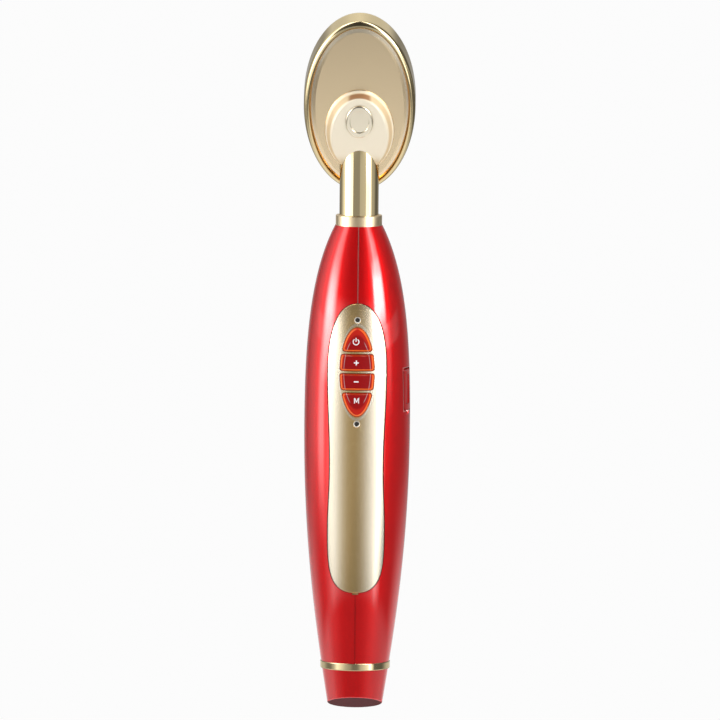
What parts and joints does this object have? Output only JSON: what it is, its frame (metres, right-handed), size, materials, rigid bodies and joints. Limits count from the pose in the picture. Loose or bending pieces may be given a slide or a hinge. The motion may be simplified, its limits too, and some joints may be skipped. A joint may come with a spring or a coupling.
{
  "type": "heated eye massager wand",
  "caption": "Hand-held heated eye massager wand: spindle-shaped handle with an inlaid key panel, a slim neck tube and a leaning oval heated head.",
  "frame": {"origin": "centre of the slanted end face at the foot of the handle", "axes": "+Z along the handle towards the head; -Y out of the keys; +X to the charging port's side"},
  "size_m": [0.0342, 0.0378, 0.2164],
  "materials": {
    "red_gloss": "glossy pearl red",
    "key_red": "glossy translucent red",
    "gold_satin": "satin champagne gold",
    "gold_polished": "polished gold plate",
    "gold_cast": "polished gold",
    "lens_smoke": "smoked",
    "board_green": "solder mask",
    "chip_black": "moulded",
    "connector_white": "moulded",
    "led_amber": "clear moulded",
    "steel": "plated",
    "cell_wrap": "shrink film",
    "contact_nickel": "nickel plated",
    "foam_grey": "closed-cell foam",
    "rubber_black": "matt",
    "heater_amber": "polyimide film",
    "lead_black": "matt",
    "insulation_white": "felt"
  },
  "bodies": {
    "handle": {"left_casing": "red_gloss", "right_casing": "red_gloss", "end_cap": "red_gloss", "front_panel": "gold_satin", "tact_switches": "steel", "indicator_lenses": "lens_smoke", "indicator_leds": "led_amber", "main_board": "board_green", "controller_chip": "chip_black", "wire_header": "connector_white", "battery_cell": "cell_wrap", "battery_contacts": "contact_nickel", "battery_pads": "foam_grey", "motor_can": "steel", "motor_sleeve": "rubber_black", "charge_board": "board_green", "charging_socket": "steel", "port_hinge_pin": "steel", "end_ring": "gold_polished", "neck_collar": "gold_satin", "neck_tube": "gold_polished", "tube_clip": "steel", "contact_shell": "gold_cast", "back_plate": "gold_satin", "head_seal": "rubber_black", "screw_plug": "gold_polished", "plate_screw": "steel", "heater_film": "heater_amber", "insulation_pad": "insulation_white", "thermistor": "chip_black", "head_lead": "lead_black"},
    "power_key": {"power_button": "key_red", "power_plunger": "chip_black"},
    "plus_key": {"plus_button": "key_red", "plus_plunger": "chip_black"},
    "minus_key": {"minus_button": "key_red", "minus_plunger": "chip_black"},
    "mode_key": {"mode_button": "key_red", "mode_plunger": "chip_black"},
    "port_cover": {"port_cover": "red_gloss"},
    "motor_rotor": {"motor_shaft": "steel", "eccentric_weight": "steel"}
  },
  "joints": [
    {"name": "power_press", "type": "slide", "parent": "handle", "child": "power_key", "axis": [0, 1, 0], "range_m": [0, 0.0005], "stiffness_N_per_m": 3000},
    {"name": "plus_press", "type": "slide", "parent": "handle", "child": "plus_key", "axis": [0, 1, 0], "range_m": [0, 0.0005], "stiffness_N_per_m": 3000},
    {"name": "minus_press", "type": "slide", "parent": "handle", "child": "minus_key", "axis": [0, 1, 0], "range_m": [0, 0.0005], "stiffness_N_per_m": 3000},
    {"name": "mode_press", "type": "slide", "parent": "handle", "child": "mode_key", "axis": [0, 1, 0], "range_m": [0, 0.0005], "stiffness_N_per_m": 3000},
    {"name": "port_cover_hinge", "type": "hinge", "parent": "handle", "child": "port_cover", "pos_m": [0.01405, -0.00403, 0.10245], "axis": [-0.2756, -0.9613, 0], "range_deg": [0, 90]},
    {"name": "motor_spin", "type": "hinge", "parent": "handle", "child": "motor_rotor", "pos_m": [0, 0.003, 0.1184], "axis": [0, 0, 1], "continuous": true}
  ]
}
